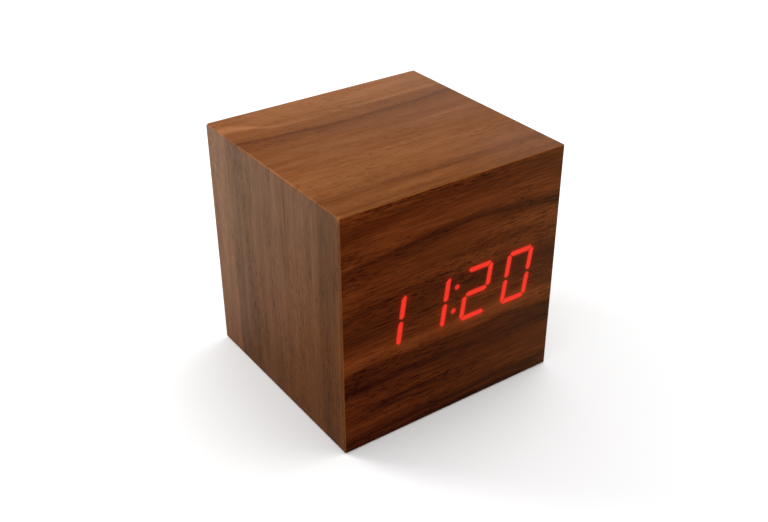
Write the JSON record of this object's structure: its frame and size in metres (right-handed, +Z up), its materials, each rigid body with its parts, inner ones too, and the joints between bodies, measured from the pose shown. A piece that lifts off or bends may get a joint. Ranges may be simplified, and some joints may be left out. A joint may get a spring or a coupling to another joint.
{
  "type": "digital alarm clock",
  "caption": "Cube-shaped digital alarm clock: fibreboard box under a dark wood film, red digits shining through the front, black rear cover with battery door, keys and power socket.",
  "frame": {"origin": "middle of the underside", "axes": "+Z up, front face towards -Y, +X to the right seen from the front"},
  "size_m": [0.063, 0.059, 0.063],
  "materials": {
    "front_wood_film": "satin wood-grain film, dark walnut",
    "wrap_wood_film": "satin wood-grain film, walnut",
    "red_light": "glowing red light seen through the film",
    "fibreboard": "raw fibreboard",
    "block_wood": "raw softwood",
    "white_sheet": "matt diffuser sheet",
    "white_plastic": "moulded white",
    "chip_resin": "clear yellow resin",
    "board_laminate": "green solder resist",
    "nylon": "natural nylon",
    "bright_steel": "zinc plated",
    "dark_steel": "black zinc plated",
    "chip_black": "moulded epoxy",
    "tinned_metal": "tinned",
    "tan_ceramic": "tan ceramic, tinned ends",
    "can_sleeve": "shrunk sleeve over an aluminium can",
    "crystal_can": "drawn metal can",
    "black_plastic": "fine spark-eroded texture",
    "door_plastic": "fine spark-eroded texture",
    "battery_jacket": "printed jacket in two plain colours",
    "nickel_plate": "nickel plated",
    "red_insulation": "soft insulation",
    "black_insulation": "soft insulation",
    "grey_insulation": "flat cable",
    "switch_plastic": "moulded",
    "key_plastic": "satin moulded",
    "plunger_plastic": "moulded"
  },
  "bodies": {
    "case": {"front_film": "front_wood_film", "wrap_film": "wrap_wood_film", "bottom_film": "wrap_wood_film", "lit_segments": "red_light", "front_panel": "fibreboard", "top_panel": "fibreboard", "bottom_panel": "fibreboard", "left_panel": "fibreboard", "right_panel": "fibreboard", "corner_blocks": "block_wood", "light_diffuser": "white_sheet", "segment_reflector": "white_plastic", "led_chips": "chip_resin", "main_board": "board_laminate", "board_spacers": "nylon", "board_screws": "bright_steel", "control_chip": "chip_black", "chip_legs": "tinned_metal", "driver_transistors": "chip_black", "resistors": "chip_black", "ceramic_capacitors": "tan_ceramic", "supply_capacitor": "can_sleeve", "clock_crystal": "crystal_can", "buzzer": "black_plastic", "rear_cover": "black_plastic", "rear_screws": "dark_steel", "batteries": "battery_jacket", "contact_plates": "nickel_plate", "contact_springs": "nickel_plate", "red_wire": "red_insulation", "black_wire": "black_insulation", "key_board": "board_laminate", "key_board_screws": "bright_steel", "key_switches": "switch_plastic", "ribbon_cable": "grey_insulation", "power_socket": "black_plastic", "socket_pin": "nickel_plate"},
    "door": {"battery_door": "door_plastic"},
    "set_button": {"set_key": "key_plastic", "set_plunger": "plunger_plastic"},
    "up_button": {"up_key": "key_plastic", "up_plunger": "plunger_plastic"},
    "down_button": {"down_key": "key_plastic", "down_plunger": "plunger_plastic"}
  },
  "joints": [
    {"name": "door_hinge", "type": "hinge", "parent": "case", "child": "door", "pos_m": [0, 0.0277, 0.01515], "axis": [-1, 0, 0], "range_deg": [0, 85]},
    {"name": "set_press", "type": "slide", "parent": "case", "child": "set_button", "axis": [0, -1, 0], "range_m": [0, 0.0003], "stiffness_N_per_m": 2000, "springref_m": -0.0003},
    {"name": "up_press", "type": "slide", "parent": "case", "child": "up_button", "axis": [0, -1, 0], "range_m": [0, 0.0003], "stiffness_N_per_m": 2000, "springref_m": -0.0003},
    {"name": "down_press", "type": "slide", "parent": "case", "child": "down_button", "axis": [0, -1, 0], "range_m": [0, 0.0003], "stiffness_N_per_m": 2000, "springref_m": -0.0003}
  ]
}
